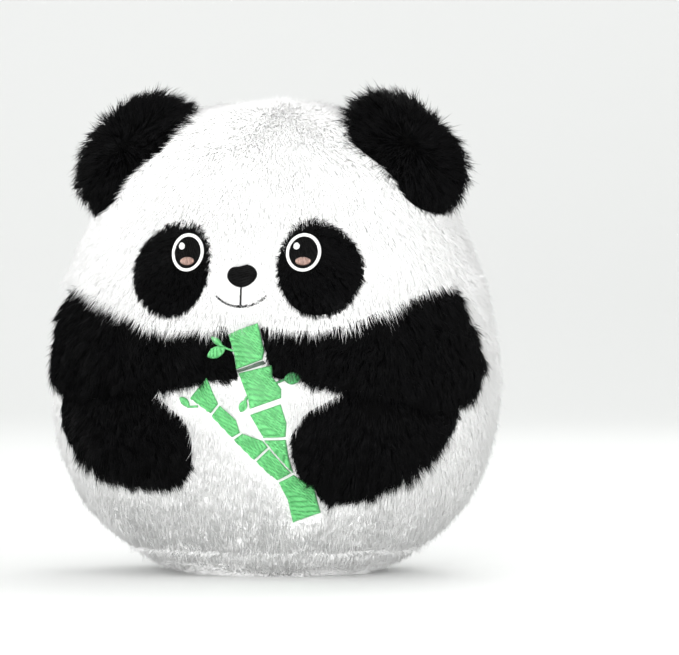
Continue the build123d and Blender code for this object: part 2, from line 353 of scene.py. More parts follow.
def finish(name, dark, light, roughness, sheen=0.0, scale=400.0, amount=0.6, value=None, specular=0.5):
    """A cloth or thread finish. value names the stored number that runs from dark to light."""
    material = bpy.data.materials.new(name)
    material.use_nodes = True
    nodes, links = material.node_tree.nodes, material.node_tree.links
    shader = nodes["Principled BSDF"]
    shader.inputs["Roughness"].default_value = roughness
    shader.inputs["Sheen Weight"].default_value = sheen
    shader.inputs["Sheen Roughness"].default_value = 0.5
    shader.inputs["Specular IOR Level"].default_value = specular
    tone = nodes.new("ShaderNodeGroup")
    tone.node_tree = TONE
    tone.inputs["Value"].default_value = 0.5
    tone.inputs["Dark"].default_value = (*dark, 1)
    tone.inputs["Light"].default_value = (*light, 1)
    tone.inputs["Scale"].default_value = scale
    tone.inputs["Amount"].default_value = amount
    if value:
        stored = nodes.new("ShaderNodeAttribute")
        stored.attribute_name = value
        links.new(stored.outputs["Fac"], tone.inputs["Value"])
    links.new(tone.outputs["Color"], shader.inputs["Base Color"])
    return material


def knit(material, scale, depth):
    """Adds the fine ribs of a knitted back to a finish."""
    nodes, links = material.node_tree.nodes, material.node_tree.links
    place_of = nodes.new("ShaderNodeTexCoord")
    ribs = nodes.new("ShaderNodeTexWave")
    ribs.inputs["Scale"].default_value = scale
    ribs.inputs["Distortion"].default_value = 3.0
    bumps = nodes.new("ShaderNodeBump")
    bumps.inputs["Distance"].default_value = depth
    links.new(place_of.outputs["Object"], ribs.inputs["Vector"])
    links.new(ribs.outputs["Fac"], bumps.inputs["Height"])
    links.new(bumps.outputs["Normal"], nodes["Principled BSDF"].inputs["Normal"])
    return material


WHITE_FUR = finish("white_pile", (0.93, 0.93, 0.925), (0.985, 0.985, 0.98), 0.9, sheen=0.3, amount=0.3,
                   value="tip")
BLACK_FUR = finish("black_pile", (0.0004, 0.0004, 0.0005), (0.003, 0.003, 0.0034), 0.5, amount=0.5,
                   value="tip", specular=0.08)
BACKING_KNIT = (900, 0.2 * MM)
WHITE_BACK = knit(finish("white_backing", (0.90, 0.90, 0.89), (0.96, 0.96, 0.95), 0.95), *BACKING_KNIT)
BLACK_BACK = knit(finish("black_backing", (0.0005, 0.0005, 0.0005), (0.002, 0.002, 0.002), 0.9,
                         specular=0.05), *BACKING_KNIT)
GREEN = finish("green_thread", (0.03, 0.26, 0.06), (0.12, 0.53, 0.17), 0.42, sheen=0.3, value="tone")
DARK_GREEN = finish("dark_green_thread", (0.012, 0.12, 0.03), (0.04, 0.33, 0.09), 0.45, sheen=0.3,
                    value="tone")
GREY = finish("grey_thread", (0.02, 0.04, 0.025), (0.07, 0.12, 0.08), 0.45, sheen=0.3, value="tone")
BLACK_THREAD = finish("black_thread", (0.001, 0.001, 0.001), (0.007, 0.007, 0.007), 0.5, value="tone",
                      specular=0.05)
WHITE_THREAD = finish("white_thread", (0.75, 0.75, 0.74), (0.97, 0.97, 0.96), 0.4, sheen=0.4, value="tone")
BROWN_THREAD = finish("brown_thread", (0.16, 0.085, 0.065), (0.42, 0.27, 0.22), 0.42, sheen=0.4,
                      value="tone")
FIBRE = finish("loose_fibre", (0.80, 0.80, 0.80), (0.97, 0.97, 0.97), 0.95, sheen=0.5, scale=150.0)
LABEL_CLOTH = knit(finish("label_satin", (0.80, 0.80, 0.78), (0.93, 0.93, 0.91), 0.4, sheen=0.5), 2500,
                   0.05 * MM)
MATERIAL_OF_SLOT = {
    "green_thread": GREEN,
    "dark_green_thread": DARK_GREEN,
    "grey_thread": GREY,
    "black_thread": BLACK_THREAD,
    "white_thread": WHITE_THREAD,
    "brown_thread": BROWN_THREAD,
}
SLOT_OF_NODE = {part["node"]: part["material_slot"] for part in frame["record"]["subparts"]}
print("materials", len(bpy.data.materials))

# %% [markdown]
# ## The cloth of the body
# Each panel of the frame is a plain curved slab. A copy of it is voxel remeshed, which gives an even skin
# of small faces with softened edges, and then every point is moved by the swell. The result is the
# knitted back of the plush, with sunk seams and stuffed limbs.

# %% Panels of cloth
CLOTH_VOXEL = 1.5 * MM
PATCH_VOXEL = 0.7 * MM


def merged_copy(name, nodes):
    """A mesh of frame nodes with their loose triangles joined up."""
    bm = bmesh.new()
    for node in nodes:
        bm.from_mesh(frame["nodes"][node].data)
    bmesh.ops.remove_doubles(bm, verts=bm.verts, dist=0.005 * MM)
    mesh = bpy.data.meshes.new(name)
    bm.to_mesh(mesh)
    bm.free()
    return mesh


def remeshed(mesh, voxel):
    """A mesh made again from small even faces."""
    draft = place(mesh)
    even = draft.modifiers.new("even", "REMESH")
    even.mode = "VOXEL"
    even.voxel_size = voxel
    even.use_smooth_shade = True
    scene_now = bpy.context.evaluated_depsgraph_get()
    result = bpy.data.meshes.new_from_object(draft.evaluated_get(scene_now))
    name = mesh.name
    bpy.data.objects.remove(draft)
    bpy.data.meshes.remove(mesh)
    result.name = name
    return result


skins = {}


def cloth_panel(node):
    """The cloth that stands for one panel of the body, or for an eye patch."""
    mesh = remeshed(merged_copy(f"{node}_cloth", [node]), PATCH_VOXEL if node in PATCHES else CLOTH_VOXEL)
    skins[node] = points_of(mesh), triangles_of(mesh)
    points = swollen(skins[node][0], node in LIMBS)
    mesh.vertices.foreach_set("co", points.astype(np.float32).ravel())
    mesh.update()
    piece = place(mesh)
    mesh.materials.clear()
    mesh.materials.append(WHITE_BACK if node in WHITE else BLACK_BACK)
    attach(piece, "body")
    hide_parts(node)
    return piece


cloth = {node: cloth_panel(node) for node in WHITE + LIMBS + PATCHES}
for node, piece in cloth.items():
    print(piece.name, len(piece.data.polygons), "faces")

# %% [markdown]
# ## Thread
# Machine embroidery is rows of short stitches side by side. Each stitch is a little spindle of thread that
# dips into the cloth at both ends, and the rows are shifted like bricks. To fill a shape, lines are drawn
# across it, and rays fired at the frame from in front find where each line is inside the shape. All the
# spindles of a piece are then worked out at once.

# %% Spindles of thread
RING_POINTS = 6
STATIONS = 5


def spindles(starts, ends, normals, width, height):
    """Points and faces of many stitches: six-sided tubes along arched paths, pinched at both ends."""
    t = np.linspace(0, 1, STATIONS)
    arch = np.sin(math.pi * t)
    along = unit(ends - starts)
    across = unit(np.cross(along, normals))
    path = starts[:, None] + (ends - starts)[:, None] * t[None, :, None]
    path = path + normals[:, None] * (height * (0.35 + 0.65 * arch))[None, :, None]
    turn = np.arange(RING_POINTS) * 2 * math.pi / RING_POINTS
    girth = 0.25 + 0.75 * arch**0.5
    wide = np.cos(turn)[None, :] * girth[:, None] * width / 2
    thick = np.sin(turn)[None, :] * girth[:, None] * height * 0.6
    side = wide[None, :, :, None] * across[:, None, None]
    rise = thick[None, :, :, None] * normals[:, None, None]
    points = (path[:, :, None] + side + rise).reshape(-1, 3)
    i = np.arange(STATIONS - 1)[:, None] * RING_POINTS
    k = np.arange(RING_POINTS)[None, :]
    after = (k + 1) % RING_POINTS
    quads = np.stack([i + k, i + after, i + RING_POINTS + after, i + RING_POINTS + k], axis=-1)
    quads = quads.reshape(-1, 4)
    ends_of = np.array([[0, 5, 4, 3], [0, 3, 2, 1]])
    last = (STATIONS - 1) * RING_POINTS
    caps = np.concatenate([ends_of, last + ends_of[:, ::-1]])
    one = np.concatenate([quads, caps])
    faces = (one[None] + (np.arange(len(starts)) * STATIONS * RING_POINTS)[:, None, None]).reshape(-1, 4)
    return points, faces


def tree_of_node(node):
    """A search tree of a frame node's faces."""
    mesh = frame["nodes"][node].data
    return BVHTree.FromPolygons(points_of(mesh).tolist(), triangles_of(mesh).tolist())


FORWARD = Vector((0, 1, 0))
IN_FRONT = -0.3
RAY_SPACING = 0.1 * MM


def runs_inside(tree, spots):
    """The unbroken runs of spots, given as X and Z, that lie on a shape, as points on its face."""
    runs, run = [], []
    for x, z in spots:
        hit = tree.ray_cast(Vector((x, IN_FRONT, z)), FORWARD)[0]
        if hit is not None:
            run.append(hit[:])
        elif run:
            runs.append(np.array(run))
            run = []
    if run:
        runs.append(np.array(run))
    return runs


def parallel_lines(node, angle, pitch):
    """Lines at an angle to X that cover a node, as arrays of X and Z at the ray spacing."""
    flat = points_of(frame["nodes"][node].data)[:, [0, 2]]
    along = np.array([math.cos(angle), math.sin(angle)])
    across = np.array([-along[1], along[0]])
    u, v = flat @ along, flat @ across
    reach = np.arange(u.min() - pitch, u.max() + pitch, RAY_SPACING)
    for row in np.arange(v.min() + pitch / 2, v.max(), pitch):
        yield along * reach[:, None] + across * row


def spoke_lines(node, pitch):
    """Lines out of the middle of a ring that cover it."""
    ring_low, ring_high = (np.array(corner)[[0, 2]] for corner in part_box(node))
    middle, half = (ring_low + ring_high) / 2, (ring_high - ring_low) / 2
    count = int(2 * math.pi * half.mean() / pitch)
    reach = np.arange(0.5, 1.05, 0.01)
    for turn in np.arange(count) * 2 * math.pi / count:
        way = half * np.array([math.cos(turn), math.sin(turn)])
        yield middle + way * reach[:, None]


def stitch_ends(tree, lines, length, seed):
    """Both ends of every stitch along the lines, shifted from row to row like bricks."""
    rng = np.random.default_rng(seed)
    starts, ends = [], []
    for row, spots in enumerate(lines):
        for run in runs_inside(tree, spots):
            if len(run) < 3:
                continue
            travel = np.concatenate([[0], np.cumsum(np.linalg.norm(np.diff(run, axis=0), axis=1))])
            total = travel[-1]
            first = length * ((row * 0.382) % 1) * (total > length)
            cuts = np.concatenate([[0], np.arange(first, total, length), [total]])
            cuts[1:-1] += rng.normal(0, 0.05 * length, len(cuts) - 2)
            cuts = np.unique(np.clip(cuts, 0, total))
            spot = np.stack([np.interp(cuts, travel, run[:, k]) for k in range(3)], axis=1)
            keep = np.diff(cuts) > 0.15 * length if total > length else np.diff(cuts) > 0.2 * MM
            starts.append(spot[:-1][keep])
            ends.append(spot[1:][keep])
    return np.concatenate(starts), np.concatenate(ends)


def embroidery(name, nodes, lines_of, pitch, length, height, seed, dome=0.0, pad_share=1.0):
    """Stitches over frame nodes, each on a pad of the node's own shape, which can be sunk by part of a
    millimetre. The piece replaces the nodes."""
    rng = np.random.default_rng(seed)
    points, quads, triangles, tones, count = [], [], [], [], 0
    for node in nodes:
        starts, ends = stitch_ends(tree_of_node(node), lines_of(node), length, seed)
        normals = out_of_body((starts + ends) / 2)
        thread_points, thread_faces = spindles(starts, ends, normals, pitch * 1.15, height)
        pad = merged_copy("pad", [node])
        pad_points, pad_faces = points_of(pad), triangles_of(pad)
        bpy.data.meshes.remove(pad)
        pad_points = pad_points - out_of_body(pad_points) * (1 - pad_share) * MM
        points += [thread_points, pad_points]
        quads.append(thread_faces + count)
        triangles.append(pad_faces + count + len(thread_points))
        shade = np.repeat(rng.uniform(0.25, 1.0, len(starts)), STATIONS * RING_POINTS)
        tones += [shade, np.zeros(len(pad_points))]
        count += len(thread_points) + len(pad_points)
    points = np.concatenate(points)
    low, high = points.min(axis=0), points.max(axis=0)
    middle, half = (high + low) / 2, (high - low) / 2
    round_off = np.clip(1 - (((points - middle) / half)[:, [0, 2]] ** 2).sum(axis=1), 0, 1) ** 0.5
    points = points + out_of_body(points) * (dome * (round_off - 0.3))[:, None]
    mesh = mesh_from(name, swollen(points, False), np.concatenate(quads), np.concatenate(triangles))
    set_values(mesh, "tone", np.concatenate(tones))
    slot = SLOT_OF_NODE[nodes[0]]
    mesh.materials.append(MATERIAL_OF_SLOT[slot])
    piece = place(mesh)
    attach(piece, "body")
    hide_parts(*nodes)
    return piece


# %% [markdown]
# ## The face: eyes, nose and mouth
# Each eye is a white satin ring of stitches that point at the middle, black rows inside it, a brown row or
# two for the lower edge of the iris, and a white glint. The nose is a padded black oval, and the mouth is a
# line of back stitches.

# %% Eyes, nose and mouth
def rows(angle, pitch):
    """Gives a node its parallel lines at an angle in degrees."""
    return lambda node: parallel_lines(node, math.radians(angle), pitch)


def spokes(pitch):
    """Gives a node its lines out of the middle."""
    return lambda node: spoke_lines(node, pitch)


FINE = 0.38 * MM
LONG_STITCH = 3.0 * MM
EYE_THREADS = {  # the lines, the length of a stitch, its height and its seed
    "black": (rows(90, FINE), LONG_STITCH, 0.30 * MM, 11),
    "iris": (rows(90, FINE), LONG_STITCH, 0.32 * MM, 12),
    "glint": (rows(0, FINE), LONG_STITCH, 0.34 * MM, 13),
    "ring": (spokes(FINE), 2.5 * MM, 0.55 * MM, 14),
}
threads = []
for side in ("right", "left"):
    for part, (lines, length, height, seed) in EYE_THREADS.items():
        eye_part = f"{side}_eye_{part}"
        threads.append(embroidery(f"{eye_part}_thread", [eye_part], lines, FINE, length, height, seed))
threads.append(
    embroidery("nose_thread", ["nose"], rows(0, FINE), FINE, 4.0 * MM, 0.3 * MM, 15, dome=1.0 * MM)
)
BACK_STITCH = 0.45 * MM
threads.append(
    embroidery("mouth_thread", ["mouth_stitches"], rows(20, BACK_STITCH), BACK_STITCH, 1.6 * MM, 0.4 * MM,
               16, pad_share=0.2)
)

# %% [markdown]
# ## The bamboo
# The stalk is filled with long slanting rows, the shoot with rows that run along it, and the leaves with
# rows across them. A darker pass of thread marks the joints of the stalk.

# %% Bamboo
COARSE = 0.5 * MM
STALK = [f"bamboo_stalk_{part}" for part in ("top", "second", "third", "fourth", "base")]
SHOOT = [f"bamboo_shoot_{part}" for part in ("top", "second", "third", "fourth")]
LEAVES = [f"bamboo_leaf_{part}" for part in ("upper", "crown", "left", "middle")]
JOINT_PITCH = 0.4 * MM
BAMBOO_THREADS = {  # nodes, angle in degrees, pitch, length and height of a stitch, and its seed
    "bamboo_stalk_thread": (STALK, -35, COARSE, 4.2 * MM, 0.45 * MM, 21),
    "bamboo_shoot_thread": (SHOOT, -46, COARSE, 4.0 * MM, 0.45 * MM, 22),
    "bamboo_leaf_thread": (LEAVES, 60, COARSE, LONG_STITCH, 0.4 * MM, 23),
    "bamboo_right_leaf_thread": (["bamboo_leaf_right"], 70, COARSE, LONG_STITCH, 0.4 * MM, 24),
    "bamboo_joint_dark_thread": (["bamboo_joint_thread"], 18, JOINT_PITCH, LONG_STITCH, 0.5 * MM, 25),
}
for name, (nodes, angle, pitch, length, height, seed) in BAMBOO_THREADS.items():
    threads.append(embroidery(name, nodes, rows(angle, pitch), pitch, length, height, seed))
for piece in threads:
    print(piece.name, len(piece.data.polygons), "faces")

# %% [markdown]
# ## The ears
# An ear is two pieces of black plush sewn together round the edge into a flat cushion, and its open end is
# sewn to the head. Its outline is a rounded square, a superellipse, and each face is a dome over it. The
# dome is carried a little way into the head, below the fold hinge that the frame gives its seam.

# %% Ear cloth
EAR_HALF = (28.8 * MM, 25.5 * MM)
EAR_SQUARENESS = 2.6
EAR_PUFF = 8.6 * MM
EAR_ROOT_PUFF = 2.1
EAR_HINGE_RISE = 5.0 * MM
EAR_BLEND_BELOW = 3.0 * MM
EAR_BLEND_ABOVE = 9.0 * MM
EAR_SIDES = {"right": -1, "left": 1}
hinges = {joint["name"]: joint for joint in frame["joints"]}


def ear_lines(side):
    """The middle of an ear's seam line, and the directions along the seam and out of the head."""
    joint = hinges[f"{side}_ear_fold"]
    along = np.array(joint["axis"], float)
    out = np.cross(along, [0, 1, 0])
    out = out * np.sign(out[2])
    return np.array(joint["pos_m"], float) - out * EAR_HINGE_RISE, along, out


def ear_square(points, side):
    """How far points are from an ear's middle to its edge, 0 to 1, and from its plane to its face."""
    middle, along, out = ear_lines(side)
    u, v = (points - middle) @ along / EAR_HALF[0], (points - middle) @ out / EAR_HALF[1]
    radius = (np.abs(u) ** EAR_SQUARENESS + np.abs(v) ** EAR_SQUARENESS) ** (1 / EAR_SQUARENESS)
    ahead = middle[1] - points[:, 1]
    return radius, np.abs(ahead) / np.maximum(ear_height(radius, v, ahead > 0), 0.1 * MM)


def ear_height(radius, rise, front):
    """The dome of an ear: puff * (1 - r^4)^0.6, and more than that at the root of the front."""
    root = 1 + EAR_ROOT_PUFF * np.clip((0.5 - rise) / 0.9, 0, 1) * front
    return EAR_PUFF * root * np.clip(1 - radius**4, 0, 1) ** 0.6


def ear_dome(side, face, rings=26, spokes=96):
    """One face of an ear: a shell with an outside of the dome's height, and an inside of 0.7 of it."""
    middle, along, out = ear_lines(side)
    forward = -1 if face == "front" else 1
    turn = np.arange(spokes) * 2 * math.pi / spokes
    power = 2 / EAR_SQUARENESS
    u = EAR_HALF[0] * np.sign(np.cos(turn)) * np.abs(np.cos(turn)) ** power
    v = EAR_HALF[1] * np.sign(np.sin(turn)) * np.abs(np.sin(turn)) ** power
    radius = np.sin(np.linspace(0.02, 1, rings) * math.pi / 2)
    height = ear_height(radius[:, None], radius[:, None] * (v / EAR_HALF[1])[None], face == "front")
    sheets = []
    for share in (1.0, 0.7):
        flat = middle + radius[:, None, None] * (u[:, None] * along + v[:, None] * out)[None]
        flat[:, :, 1] += forward * share * height
        sheets.append(flat.reshape(-1, 3))
    top = float(ear_height(0.0, 0.0, face == "front"))
    poles = [middle + [0, forward * share * top, 0] for share in (1.0, 0.7)]
    points = np.concatenate([*sheets, poles])
    i, k = np.meshgrid(np.arange(rings - 1), np.arange(spokes), indexing="ij")
    after = (k + 1) % spokes
    here, beyond = i * spokes, (i + 1) * spokes
    quads = np.stack([here + k, here + after, beyond + after, beyond + k], axis=-1).reshape(-1, 4)
    sheet, pole = rings * spokes, 2 * rings * spokes
    ring = np.arange(spokes)
    cap = np.stack([np.full(spokes, pole), np.roll(ring, -1), ring], axis=1)
    rim = np.stack([ring + sheet - spokes, np.roll(ring, -1) + sheet - spokes,
                    np.roll(ring, -1) + 2 * sheet - spokes, ring + 2 * sheet - spokes], axis=1)
    squares = np.concatenate([quads, quads[:, ::-1] + sheet, rim])
    wedges = np.concatenate([cap, cap[:, ::-1] + [sheet, sheet, 1]])
    mesh = mesh_from(f"{side}_ear_{face}_cloth", points, squares, wedges)
    bm = bmesh.new()
    bm.from_mesh(mesh)
    bmesh.ops.remove_doubles(bm, verts=bm.verts, dist=0.02 * MM)
    bmesh.ops.recalc_face_normals(bm, faces=bm.faces)
    bm.to_mesh(mesh)
    bm.free()
    return mesh


def bend_with_ear(piece, side):
    """Works out the span round the ear's hinge, which nothing uses, and bakes the piece's placement into its
    points.
    """
    middle, _, out = ear_lines(side)
    hinge = middle + out * EAR_HINGE_RISE
    start, end = hinge - out * EAR_BLEND_BELOW, hinge + out * EAR_BLEND_ABOVE
    tuple(start)
    tuple(end)
    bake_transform(piece)


ear_skins = {}
for side in EAR_SIDES:
    for face in ("front", "back"):
        node = f"{side}_ear_{face}"
        mesh = ear_dome(side, face)
        mesh.materials.append(BLACK_BACK)
        ear_skins[node] = points_of(mesh), triangles_of(mesh)
        piece = place(mesh)
        bend_with_ear(piece, side)
        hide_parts(node)
        print(piece.name, len(mesh.polygons), "faces")

# %% [markdown]
# ## Growing the pile
# A strand is a thin spike with three sides that is rooted in the cloth. The roots are spread evenly over
# the outer faces. The direction of a strand is a mix: straight out of the cloth, along the nap, a wander
# that changes slowly over the cloth, and a pull to the middle of its tuft. Near embroidery the pile is
# trimmed short, and no strand grows through it. Each strand is worked out on the plain frame and then
# moved by the swell at its root.

# %% Roots
EYE_ENDINGS = tuple(f"eye_{part}" for part in EYE_THREADS)
TRIMMED_ROUND = [node for node in SLOT_OF_NODE
                 if node == "nose" or node.startswith("bamboo") or node.endswith(EYE_ENDINGS)]


def joined_tree(nodes):
    """One search tree for the faces of several frame nodes."""
    mesh = merged_copy("search", nodes)
    tree = BVHTree.FromPolygons(points_of(mesh).tolist(), triangles_of(mesh).tolist())
    bpy.data.meshes.remove(mesh)
    return tree


trims = joined_tree(TRIMMED_ROUND)
mouth_tree = joined_tree(["mouth_stitches"])
label_tree = joined_tree(["care_label"])
patch_tree = joined_tree(PATCHES)
chin_rim = rim_points("face_panel", 1.5 * MM)
chin_tree = tree_of(chin_rim[(chin_rim[:, 2] < 132 * MM) & (chin_rim[:, 1] < -12 * MM)])


def distance(tree, points, most):
    """The distance from each point to a tree of faces, no further than most."""
    found = (tree.find_nearest(point, most)[3] for point in points)
    return np.array([most if gap is None else gap for gap in found])


def gap_to(tree, points):
    """The distance from each point to the nearest one in a tree of points."""
    return np.array([tree.find(point)[2] for point in points])


def roots_on(points, faces, normals, count, rng):
    """Random roots spread evenly over faces, and the direction out of the cloth at each."""
    a, b, c = (points[faces[:, k]] for k in range(3))
    area = np.linalg.norm(np.cross(b - a, c - a), axis=1)
    chosen = rng.choice(len(faces), count, p=area / area.sum())
    u, v = rng.random(count), rng.random(count)
    flip = u + v > 1
    u[flip], v[flip] = 1 - u[flip], 1 - v[flip]
    spots = a[chosen] + (b - a)[chosen] * u[:, None] + (c - a)[chosen] * v[:, None]
    return spots, normals[chosen]


# %% [markdown]
# White strands are straight and have four faces. Black ones bend half way and have ten. None goes below
# the floor.

# %% Strands
ROOT_DEPTH = 0.3 * MM
FLOOR = 0.1 * MM


def strand_mesh(name, roots, normals, ways, lengths, width, bend, tuft_value, shift):
    """Spikes with three sides, moved by shift. bend turns their tips, and straight ones have None."""
    side = unit(np.cross(ways, normals) + 1e-9)
    up = unit(np.cross(side, ways))
    turn = np.arange(3) * 2 * math.pi / 3
    ring = np.cos(turn)[None, :, None] * side[:, None] + np.sin(turn)[None, :, None] * up[:, None]
    thick = width[:, None, None] / 2
    base = roots[:, None] - ways[:, None] * ROOT_DEPTH + ring * thick
    tips = roots + ways * lengths[:, None]
    count = len(roots)
    if bend is None:
        points = np.concatenate([base, tips[:, None]], axis=1)
        one = np.array([[0, 1, 3], [1, 2, 3], [2, 0, 3], [2, 1, 0]])
        reach = np.array([0, 0, 0, 1.0])
    else:
        tips = tips + bend * lengths[:, None]
        middle = roots + ways * (0.52 * lengths)[:, None] + bend * (0.13 * lengths)[:, None]
        points = np.concatenate([base, middle[:, None] + ring * thick * 0.9, tips[:, None]], axis=1)
        one = np.array([[0, 1, 4], [0, 4, 3], [1, 2, 5], [1, 5, 4], [2, 0, 3], [2, 3, 5],
                        [3, 4, 6], [4, 5, 6], [5, 3, 6], [2, 1, 0]])
        reach = np.array([0, 0, 0, 0.55, 0.55, 0.55, 1.0])
    points = points + shift[:, None]
    each = points.shape[1]
    points = points.reshape(-1, 3)
    points[:, 2] = np.maximum(points[:, 2], FLOOR)
    faces = (one[None] + (np.arange(count) * each)[:, None, None]).reshape(-1, 3)
    mesh = mesh_from(name, points, faces)
    set_values(mesh, "tip", (0.15 + 0.6 * reach[None, :] + 0.25 * tuft_value[:, None]).ravel())
    return mesh

# %% [markdown]
# ### White pile
# The white plush is combed down the body. It is trimmed round the muzzle, and along the chin seam it is
# longest, because the head overhangs the arms there.

# %% Growth
DOWN = np.array([0.0, 0.0, -1.0])


def along_cloth(vectors, normals):
    """Vectors laid flat on the cloth and given unit length."""
    return unit(vectors - normals * (vectors * normals).sum(axis=1, keepdims=True))


def grow(name, skins, count, style, seed, sowing=0):
    """Pile over the outer faces of skins, a list of points, faces and normals. The seed sets the tufts, and
    each sowing puts new strands into the same tufts."""
    rng = np.random.default_rng([seed, sowing])
    areas, found = [], []
    for points, faces, normals in skins:
        a, b, c = (points[faces[:, k]] for k in range(3))
        areas.append(np.linalg.norm(np.cross(b - a, c - a), axis=1).sum())
    for (points, faces, normals), area in zip(skins, areas):
        found.append(roots_on(points, faces, normals, int(count * area / sum(areas)), rng))
    roots = np.concatenate([spots for spots, _ in found])
    normals = np.concatenate([facing for _, facing in found])
    lengths, nap, lift, keep = style["shape"](roots, normals)
    roots, normals, lengths, nap, lift = roots[keep], normals[keep], lengths[keep], nap[keep], lift[keep]
    middle, tuft_value = tufts(roots, style["tuft"], seed)
    pull = (middle - roots) / style["tuft"]
    wander = waves(roots, style["wander"], seed)
    ways = unit(
        along_cloth(nap, normals) + normals * lift[:, None]
        + style["spread"] * rng.normal(size=roots.shape) + style["clump"] * pull + style["stray"] * wander
    )
    ways = unit(ways + normals * np.clip(0.12 - (ways * normals).sum(axis=1), 0, None)[:, None])
    lengths = lengths * (1 + style["uneven"] * rng.normal(size=len(roots))) * (0.85 + 0.3 * tuft_value)
    lengths = np.clip(lengths, 0.6 * MM, None)
    width = style["width"] * rng.uniform(0.75, 1.25, len(roots))
    bend = None
    if style["bent"]:
        bend = 0.35 * along_cloth(nap, normals) + 0.5 * style["clump"] * pull - 0.12 * normals
    shift = out_of_body(roots) * style["swell"](roots)[:, None]
    mesh = strand_mesh(name, roots, normals, ways, lengths, width, bend, tuft_value, shift)
    mesh.materials.append(style["finish"])
    print(name, len(roots), "strands")
    return place(mesh)


def clearing(roots, lengths, bare, near):
    """Lengths cut near embroidery, and which roots are kept: none within bare of thread."""
    gap = distance(trims, roots, near)
    share = np.clip((gap - bare) / (near - bare), 0, 1)
    return lengths * (0.25 + 0.75 * share), gap > bare


WHITE_LENGTH = 5.2 * MM
CHIN_FRINGE = 3.2 * MM
MUZZLE_TRIM = 0.45


def white_shape(roots, _normals):
    """Length, nap, lift and which roots are kept for the white pile of the body."""
    lengths = np.full(len(roots), WHITE_LENGTH)
    chin = gap_to(chin_tree, roots)
    front = roots[:, 1] < 0
    above_chin = front & (roots[:, 2] > 100 * MM)
    lengths += CHIN_FRINGE * np.exp(-((chin / (5 * MM)) ** 2)) * above_chin
    lengths *= 1 - MUZZLE_TRIM * bump(roots, (0.0, 119), (16, 11))
    lengths, keep = clearing(roots, lengths, 0.5 * MM, 4.5 * MM)
    mouth = distance(mouth_tree, roots, 2 * MM)
    keep &= mouth > 0.35 * MM
    lengths *= 0.7 + 0.3 * np.clip(mouth / (2 * MM), 0, 1)
    patch = distance(patch_tree, roots, 3 * MM)
    keep &= patch > 0.2 * MM
    for side in EAR_SIDES:
        radius, depth = ear_square(roots, side)
        keep &= (radius > 0.98) | (depth > 1)
    lengths *= 0.7 + 0.3 * np.clip(patch / (3 * MM), 0, 1)
    label = distance(label_tree, roots, 5 * MM)
    lengths *= 0.35 + 0.65 * np.clip(label / (5 * MM), 0, 1)
    sideways = unit(roots * [1, 1, 0] + 1e-6)
    parted = np.where(front, -0.15, 0.15)[:, None] * np.array([0.0, 1.0, 0.0])
    nap = DOWN + 0.35 * sideways + parted
    under = roots[:, 2] < 6 * MM
    nap[under] = sideways[under] + 0.2 * DOWN
    lift = 0.42 - 0.27 * np.clip(1 - roots[:, 2] / (6 * MM), 0, 1)
    return lengths, nap, lift, keep


def whole_skin(node):
    """The outer faces of a body panel's cloth before the swell, with their normals."""
    points, faces = skins[node]
    return (points, *outer_faces(points, faces, 0.55))


WHITE_STYLE = {
    "shape": white_shape, "tuft": 4.0 * MM, "wander": 24 * MM, "spread": 0.15, "clump": 0.18, "stray": 0.16,
    "uneven": 0.16, "width": 0.34 * MM, "bent": False, "finish": WHITE_FUR,
    "swell": lambda roots: swell(roots, False),
}
WHITE_COUNTS = {"face_panel": (48000, 48000), "belly_panel": (48000,), "back_left_panel": (34000,),
                "back_right_panel": (34000,), "base_panel": (22000,)}
THINNED = 1.0
fur = []
for number, (node, counts) in enumerate(WHITE_COUNTS.items()):
    for sowing, count in enumerate(counts):
        piece = grow(f"{node}_pile_{sowing + 1}", [whole_skin(node)], int(count * THINNED), WHITE_STYLE,
                     100 + number, sowing)
        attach(piece, "body")
        fur.append(piece)

# %% [markdown]
# ### Black pile
# The arms, legs and ears are a longer black plush, and so are the eye patches, cut short. On a limb it
# falls from the middle, so the edges are ragged and hang over the white. On an ear it fans out from the
# seam, and round an eye it fans out from the eye.

# %% Limbs, eye patches and ears
LIMB_LENGTH = 6.8 * MM
PATCH_LENGTH = 3.4 * MM
EAR_LENGTH = 6.6 * MM


def limb_shape(node):
    """The shape of the pile on an arm or a leg, which fans out a little from its middle and falls."""
    centre = rims[node].mean(axis=0)

    def shape(roots, _normals):
        fan = unit(roots - centre)
        outer = np.clip((np.abs(roots[:, :1]) - 66 * MM) / (18 * MM), 0, 1)
        nap = (0.4 - 0.4 * outer) * fan + DOWN
        rim = gap_to(rim_trees[node], roots)
        lengths = LIMB_LENGTH * (0.42 + 0.58 * np.clip(rim / (7 * MM), 0, 1)) * (1 - 0.3 * outer[:, 0])
        lengths, keep = clearing(roots, lengths, 0.4 * MM, 5.0 * MM)
        chin = gap_to(chin_tree, roots)
        lengths *= 0.6 + 0.4 * np.clip(chin / (8 * MM), 0, 1)
        return lengths, nap, np.full(len(roots), 0.34), keep

    return shape


def patch_shape(side):
    """The shape of the pile round an eye, short next to it and longer at the edge of the patch."""
    eye_low, eye_high = (np.array(corner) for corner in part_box(f"{side}_eye_ring"))
    eye = (eye_low + eye_high) / 2

    def shape(roots, _normals):
        away = roots - eye
        nap = 0.7 * unit(away) + 0.6 * DOWN
        rim = gap_to(rim_trees[f"{side}_eye_patch"], roots)
        lengths = PATCH_LENGTH * (0.5 + 0.5 * np.clip(rim / (4 * MM), 0, 1))
        lengths, keep = clearing(roots, lengths, 0.3 * MM, 2.5 * MM)
        return lengths, nap, np.full(len(roots), 0.36), keep

    return shape


def above_head(points):
    """How far points stand out of the head."""
    found = (head_tree.find_nearest(point)[0] for point in points)
    return ((points - np.array([spot[:] for spot in found])) * out_of_body(points)).sum(axis=1)


head_tree = joined_tree(["face_panel", "back_left_panel", "back_right_panel"])


